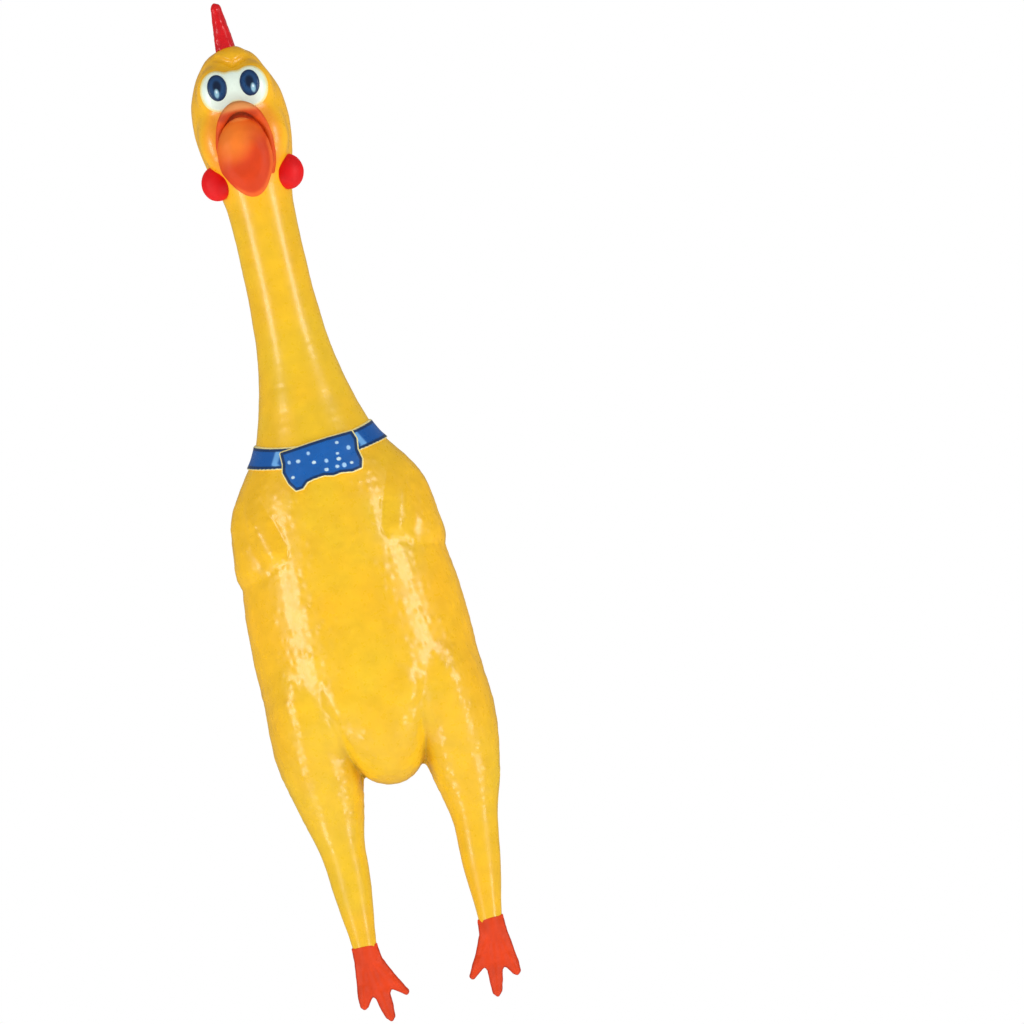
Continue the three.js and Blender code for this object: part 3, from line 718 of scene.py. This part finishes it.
riding("eye_patch_relief", relief(eye_region, 1.2, soft=1.4), (-23, -36, 94), (23, -8, 126), 0.45,
       eye_paint, "head", ["eye_patch"])
for name, sign in (("left", 1), ("right", -1)):
    one = lambda p: iris_region(p) + 40 * (p[:, 0] * sign < 0)
    x0, x1 = sorted((sign * 2, sign * 16))
    riding(f"{name}_iris_relief", relief(one, 1.75, soft=1.2), (x0, -38, 102), (x1, -14, 121), 0.3,
           iris_paint, "head", [f"{name}_iris"])


# Comb
def comb_field(p):
    """A thick, soft blade with four blunt points, thinner towards its top edge."""
    q = p - np.array([0.9, 0, 0])
    half = np.interp(q[:, 2], [124, 132, 143, 151, 157], [5.6, 4.9, 3.7, 2.9, 2.4])
    side = np.stack([np.zeros(len(q)), q[:, 1], q[:, 2]], 1)
    d = cone(side, (0, -6, 124), (0, -8.5, 151.4), 7.5, 3.7)
    for a, b, ra, rb in (((0, 0, 124), (0, 2.5, 148.5), 6.0, 3.4), ((0, 6, 123), (0, 12.5, 143.2), 5.6, 3.0),
                         ((0, 10, 120), (0, 20.5, 134), 5.2, 2.6)):
        d = smin(d, cone(side, a, b, ra, rb), 2.2)
    d = smax(d, np.abs(q[:, 0]) - half, 3.8)
    teeth = 1.6 * np.abs(((q[:, 0] * 0.32 + 0.1) % 1.0) * 2 - 1)
    return smax(d, 128.8 + teeth - q[:, 2] - 0.3 * np.maximum(q[:, 1] + 8, 0), 0.5)


def comb_detail(p):
    q = p * np.array([1.0, 1.0, 0.35])
    return 0.28 * noise(q, 2.4, 51) + 0.15 * noise(p, 1.6, 52)


def comb_paint(p):
    c = mix(np.tile(RED, (len(p), 1)), DARK_RED, 0.4 + 0.5 * noise(p, 4, 53))
    return mix(c, DARK_RED, 0.7 * step(133, 129, p[:, 2]))


riding("comb_soft", comb_field, (-9, -22, 112), (9, 27, 158), 0.5, comb_paint, "head", ["comb"],
       detail=comb_detail)

# Wattles
for name, sign in (("left", 1), ("right", -1)):
    def wattle(p, sign=sign):
        q = face(p)
        x = sign * 18.8 + 1.3
        d = ellipsoid(q, (x, -9.5, 61.6), (8.2, 7.8, 9.3))
        return smin(d, ellipsoid(q, (x - 2.5 * sign, -8, 64), (5, 5, 7)), 2)
    x0, x1 = sorted((sign * 10, sign * 30))
    riding(f"{name}_wattle_soft", wattle, (x0, -19, 48), (x1, 3, 76), 0.55, flat(RED, 5, 0.08), "head",
           [f"{name}_wattle"], RUBBER, lambda p: 0.12 * noise(p, 4, 55))

# Beak
HOOP_Z = [60, 66, 72, 82, 90, 96, 99]
HOOP_Y = [-16, -19.5, -22.5, -26.5, -30.5, -33.5, -34.2]
SPOON_TURN = turn(7)
SPOON = np.array([-0.3, -29.0, 71.3])
SPOON_HALF, SPOON_LONG = 14.2, 20.9


def spoon_frame(p):
    """A point in the lower beak's own frame, where its narrow end is widened and straightened."""
    q = (face(p) - SPOON) @ SPOON_TURN
    low = np.maximum(-6 - q[:, 2], 0)
    q[:, 0] = (q[:, 0] - 0.1 * low) * (1 + 0.014 * low)
    return q


def upper_field(p):
    q = face(p)
    z = q[:, 2]
    ring = oval(q, 0.6, 75.5, 13.7, 22.0)
    hoop = np.hypot(ring, q[:, 1] - np.interp(z, HOOP_Z, HOOP_Y)) - 1.7 - 0.08 * np.maximum(z - 84, 0)
    hoop = smax(hoop, 64.5 - 0.32 * q[:, 0] - z, 1.6)
    plate = ellipsoid(q, (0.4, -19, 85), (13.2, 14.6, 13.4))
    plate = smax(plate, 78 - q[:, 2], 1)
    return smin(hoop, plate, 1.2)


def lower_field(p):
    q = spoon_frame(p)
    outer = ellipsoid(q, (0, 0, 0), (SPOON_HALF, 7.6, SPOON_LONG))
    dish = ellipsoid(q, (0.5, -17.2, -1), (11.6, 11.4, 17.6))
    swell = ellipsoid(q, (-2.5, -1.6, 5), (8.5, 5.7, 11.5))
    d = smin(smax(outer, -dish, 2.6), swell, 2.5)
    whistle_room = np.minimum(p[:, 1] + 30.2, p[:, 2] - 82.5)
    return smax(d, whistle_room, 1.0)


def beak_paint(p):
    q = face(p)
    c = mix(np.tile(BEAK, (len(p), 1)), BEAK_DEEP, 0.4 + 0.3 * noise(p, 9, 61))
    # Painted highlight: the top of the upper beak is painted light tan where it catches the light.
    c = mix(c, srgb(214, 142, 78), 0.9 * step(92.5, 96.5, q[:, 2] - 0.1 * np.abs(q[:, 0])))
    # Painted shade: the recess under the upper beak is painted dark.
    mouth_shade = step(1.6, -1.2, ellipsoid(q, (-0.4, -34, 92.4), (10, 8, 3.0)))
    return mix(c, MOUTH_SHADE, 0.85 * mouth_shade)


def tongue_paint(p):
    q = spoon_frame(p)
    # Painted shade: the spoon darkens toward its lower right, away from the light.
    c = mix(np.tile(BEAK, (len(p), 1)), BEAK_DEEP, step(12, -2, q[:, 2] - 0.6 * q[:, 0]))
    # Painted light: a lighter patch on the spoon's upper left.
    c = mix(c, srgb(240, 124, 36), 0.85 * step(13, 3, np.hypot(q[:, 0] + 5, (q[:, 2] - 11) * 0.8)))
    # Painted highlight: a light line along the spoon's top lip.
    c = mix(c, srgb(248, 150, 74), 0.8 * step(18.6, 20.2, q[:, 2]))
    # Painted highlight along the spoon's lower right rim.
    brim_highlight = np.hypot(q[:, 0] / SPOON_HALF, q[:, 2] / SPOON_LONG)
    c = mix(c, srgb(246, 116, 44), 0.6 * step(0.84, 0.95, brim_highlight) * step(2, 9, q[:, 0] - q[:, 2]))
    return c * (1 + 0.05 * noise(p, 5, 62))[:, None]


riding("upper_beak_soft", upper_field, (-20, -42, 54), (22, -8, 106), 0.45, beak_paint, "head",
       ["upper_beak"], RUBBER, lambda p: 0.1 * noise(p, 3, 63))
lower = make("lower_beak_soft", *surface(lower_field, (-18, -44, 46), (18, -12, 98), 0.5 * COARSE,
                                         lambda p: 0.1 * noise(p, 3, 64)), tongue_paint, RUBBER)
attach(lower, "jaw")
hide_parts("lower_beak")


# Feet
FOOT_PLAN = [(29, -342), (38.8, -342), (39.7, -352), (41, -362), (42, -370.5), (41.9, -374.6),
             (41, -375.6), (39.8, -374.8), (37.4, -371), (35.3, -369.4), (33, -371.6), (31.6, -378),
             (30.2, -382.6), (28.6, -384.4), (27.5, -383), (27.2, -377.5), (27.4, -370.8), (25.8, -368),
             (23.6, -368.4), (20, -371), (17.9, -372.6), (17.6, -372), (18.9, -369.4), (23.2, -361.5),
             (27.3, -352.5)]
TOES = (((36.4, -352), (41.0, -374)), ((33.6, -352), (28.8, -382.6)), ((30.8, -352), (18.6, -372)))


def foot_edge(p, sign):
    """Distance outside the drawn outline of a webbed foot."""
    return outline(p * np.array([sign, 1, 1]), FOOT_PLAN, 1.3)


def foot_field(sign):
    """Flat webbed plate with ribbed toes and a round heel."""
    def field(p):
        q = p * np.array([sign, 1, 1])
        x, y, z = q[:, 0], q[:, 1] - LEG_Y, q[:, 2]
        plan = np.stack([x, np.zeros(len(x)), z], 1)
        rib = np.zeros(len(x))
        for (ax, az), (bx, bz) in TOES:
            line = cone(plan, (ax, 0, az), (bx, 0, bz), 0, 0)
            a, b = np.array([ax, az]), np.array([bx, bz])
            t = (np.stack([x, z], 1) - a) @ (b - a) / ((b - a) @ (b - a))
            knuckle = 1 + 0.4 * np.exp(-(((t - 0.72) / 0.1) ** 2)) - 0.4 * np.exp(-(((t - 0.52) / 0.05) ** 2))
            rib = np.maximum(rib, 1.2 * np.exp(-((line / 2.2) ** 2)) * knuckle)
        thick = 1.9 + rib
        r = 1.7
        inset = foot_edge(p, sign) + r
        over = np.abs(y) - thick + r
        plate = np.hypot(np.maximum(inset, 0), np.maximum(over, 0)) - r + np.minimum(np.maximum(inset, over), 0)
        heel = ellipsoid(np.stack([x, y, z], 1), (33.9, 0, -344), (6.1, 6.4, 13))
        return smax(smin(plate, heel, 2.5), z + 343.8, 0.4)
    return field


def foot_paint(sign):
    def paint(p):
        c = flat(FOOT, 6, 0.09, 73)(p)
        return mix(c, srgb(150, 40, 24), 0.65 * step(0.9, 0.1, -foot_edge(p, sign)) * (p[:, 2] < -346))
    return paint


def foot_detail(p):
    q = p * np.array([0.5, 0.5, 1.0])
    return 0.2 * noise(q, 2.6, 71) + 0.06 * noise(p, 1.8, 72)


for name, sign in (("left", 1), ("right", -1)):
    x0, x1 = sorted((sign * 13, sign * 48))
    foot = make(f"{name}_foot_soft", *surface(foot_field(sign), (x0, -11, -389), (x1, 8, -341), 0.5 * COARSE,
                                              foot_detail), foot_paint(sign), RUBBER)
    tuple(upright(ANKLE_BEND[0]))
    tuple(upright(ANKLE_BEND[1]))
    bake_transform(foot)
    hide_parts(f"{name}_foot")

# ---- The squeaker keeps its CAD solids ----
IVORY = plastic("whistle_plastic", srgb(236, 232, 218), 0.45)
FILM = plastic("reed_film", srgb(190, 204, 212), 0.2)
for node in ("whistle_barrel", "whistle_grille", "reed_block", "reed_wedge", "reed_tongue"):
    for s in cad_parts[node].material_slots:
        s.link = "OBJECT"
        s.material = FILM if node == "reed_tongue" else IVORY

# ---- Room: pale floor under the hanging toy, soft light all round, softboxes for the long highlights ----
SEEN_LEVEL, LIT_LEVEL, GLOSS_CHANGE = 1.0, 0.36, -0.2
world = bpy.data.worlds.new("studio")
bpy.context.scene.world = world
world.use_nodes = True
sky = world.node_tree.nodes["Background"]
sky.inputs["Color"].default_value = (1, 1, 1, 1)
seen = world.node_tree.nodes.new("ShaderNodeLightPath")
level = world.node_tree.nodes.new("ShaderNodeMapRange")
level.inputs["To Min"].default_value = LIT_LEVEL
level.inputs["To Max"].default_value = SEEN_LEVEL
dimmer = world.node_tree.nodes.new("ShaderNodeMath")
dimmer.operation = "MULTIPLY_ADD"
dimmer.inputs[1].default_value = GLOSS_CHANGE
world.node_tree.links.new(seen.outputs["Is Camera Ray"], level.inputs["Value"])
world.node_tree.links.new(seen.outputs["Is Glossy Ray"], dimmer.inputs[0])
world.node_tree.links.new(level.outputs["Result"], dimmer.inputs[2])
world.node_tree.links.new(dimmer.outputs["Value"], sky.inputs["Strength"])
bpy.context.scene.view_settings.view_transform = "Standard"
bpy.context.scene.view_settings.look = "None"

FLOOR_Z, FLOOR_RADIUS, FLOOR_SIDES = -1.12, 2.5, 96
round_about = np.linspace(0, 2 * math.pi, FLOOR_SIDES, endpoint=False)
ring = np.array([[math.cos(a), math.sin(a)] for a in round_about]) * FLOOR_RADIUS
floor_mesh = bpy.data.meshes.new("floor")
floor_mesh.from_pydata([(x, y, FLOOR_Z) for x, y in ring], [], [list(range(FLOOR_SIDES))])
floor = bpy.data.objects.new("floor", floor_mesh)
bpy.context.scene.collection.objects.link(floor)
pale = bpy.data.materials.new("pale_floor")
pale.use_nodes = True
pale_inputs = pale.node_tree.nodes["Principled BSDF"].inputs
pale_inputs["Base Color"].default_value = (0.93, 0.93, 0.93, 1)
pale_inputs["Roughness"].default_value = 0.9
pale_inputs["Emission Color"].default_value = (1, 1, 1, 1)
pale_inputs["Emission Strength"].default_value = 0.5
floor_mesh.materials.append(pale)
floor.visible_glossy = False

LAMP_TARGET = Vector((0, 0, -0.12))


def softbox(name, azimuth, height, width, tall, distance, power, shines=True):
    """A soft light round the toy; one that doesn't shine lights it without showing in its gloss."""
    light = bpy.data.lights.new(name, "AREA")
    light.shape = "RECTANGLE"
    light.size = width
    light.size_y = tall
    light.energy = power
    obj = bpy.data.objects.new(name, light)
    bpy.context.scene.collection.objects.link(obj)
    a = math.radians(azimuth)
    at = Vector((math.sin(a) * distance, -math.cos(a) * distance, height))
    obj.location = at
    obj.rotation_euler = (LAMP_TARGET - at).to_track_quat("-Z", "Y").to_euler()
    obj.visible_glossy = shines


for kind, azimuth, *measures, shines in (
        ("fill", 55, 0.05, 0.5, 1.6, 1.3, 3.0, False),
        ("strip", 53, -0.06, 0.32, 0.84, 1.3, 5.6, True),
        ("low", 53, -0.92, 0.36, 0.26, 1.3, 1.9, True),
        ("back", 145, 0.4, 0.5, 1.2, 1.5, 7, False)):
    for side, sign in (("left", -1), ("right", 1)):
        softbox(f"{kind}_{side}", sign * azimuth, *measures, shines=shines)
softbox("top", 0, 1.5, 1.2, 0.8, 0.9, 2.0, shines=False)
